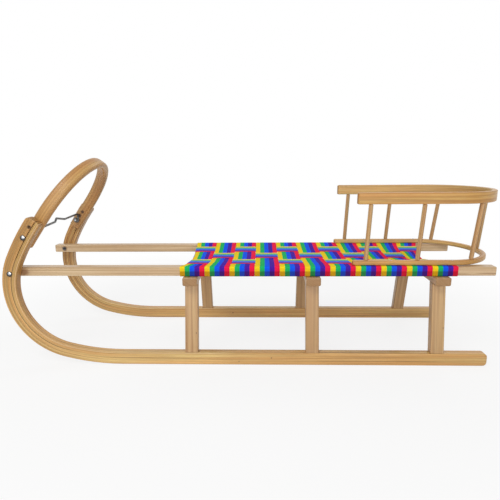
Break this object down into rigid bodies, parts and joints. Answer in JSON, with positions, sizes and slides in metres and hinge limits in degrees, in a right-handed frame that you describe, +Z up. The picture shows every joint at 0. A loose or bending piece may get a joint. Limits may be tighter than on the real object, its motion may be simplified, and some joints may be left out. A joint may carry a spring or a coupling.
{
  "type": "wooden sled",
  "caption": "Bentwood horned sled on splayed trestles, with a striped woven webbing seat, grab loop, steel pull rod and screwed-on spindle backrest.",
  "frame": {"origin": "on the floor, under the middle of the sled's whole length and width", "axes": "+X towards the back of the sled, +Y towards the rider's right, +Z up; the horns are at -X"},
  "size_m": [1.2168, 0.3368, 0.5013],
  "materials": {
    "bentwood": "clear varnish, satin",
    "straight_wood": "clear varnish, satin",
    "steel": "zinc plated, slightly dull",
    "webbing": "woven polypropylene webbing with lengthwise stripes in yellow, green, blue, purple and red"
  },
  "bodies": {
    "sled": {"runner_left": "bentwood", "runner_right": "bentwood", "runner_shoe_left": "steel", "runner_shoe_right": "steel", "leg_front_left": "straight_wood", "leg_front_right": "straight_wood", "leg_middle_left": "straight_wood", "leg_middle_right": "straight_wood", "leg_rear_left": "straight_wood", "leg_rear_right": "straight_wood", "crossbar_front": "straight_wood", "crossbar_middle": "straight_wood", "crossbar_rear": "straight_wood", "seat_rail_left": "straight_wood", "seat_rail_right": "straight_wood", "rail_screw_front_left": "steel", "rail_screw_front_right": "steel", "rail_screw_middle_left": "steel", "rail_screw_middle_right": "steel", "rail_screw_rear_left": "steel", "rail_screw_rear_right": "steel", "grab_loop": "bentwood", "lap_nail_left": "steel", "lap_nail_right": "steel", "horn_bolt_left": "steel", "horn_bolt_right": "steel", "horn_bolt_nut_left": "steel", "horn_bolt_nut_right": "steel", "rail_bolt_left": "steel", "rail_bolt_right": "steel", "rail_bolt_nut_left": "steel", "rail_bolt_nut_right": "steel", "cross_strap_01": "webbing", "cross_strap_02": "webbing", "cross_strap_03": "webbing", "cross_strap_04": "webbing", "cross_strap_05": "webbing", "cross_strap_06": "webbing", "cross_strap_07": "webbing", "cross_strap_08": "webbing", "cross_strap_09": "webbing", "cross_strap_10": "webbing", "cross_strap_11": "webbing", "long_strap_left": "webbing", "long_strap_centre": "webbing", "long_strap_right": "webbing", "backrest_hoop": "bentwood", "backrest_band": "bentwood", "spindle_front_left": "bentwood", "spindle_front_right": "bentwood", "spindle_middle_left": "bentwood", "spindle_middle_right": "bentwood", "spindle_rear_left": "bentwood", "spindle_rear_right": "bentwood", "spindle_centre": "bentwood", "backrest_screw_front_left": "steel", "backrest_screw_front_right": "steel", "backrest_screw_rear_left": "steel", "backrest_screw_rear_right": "steel"},
    "rod": {"pull_rod": "steel"}
  },
  "joints": [
    {"name": "pull_rod_swing", "type": "hinge", "parent": "sled", "child": "rod", "pos_m": [-0.5362, 0, 0.3195], "axis": [0, 1, 0], "continuous": true}
  ]
}
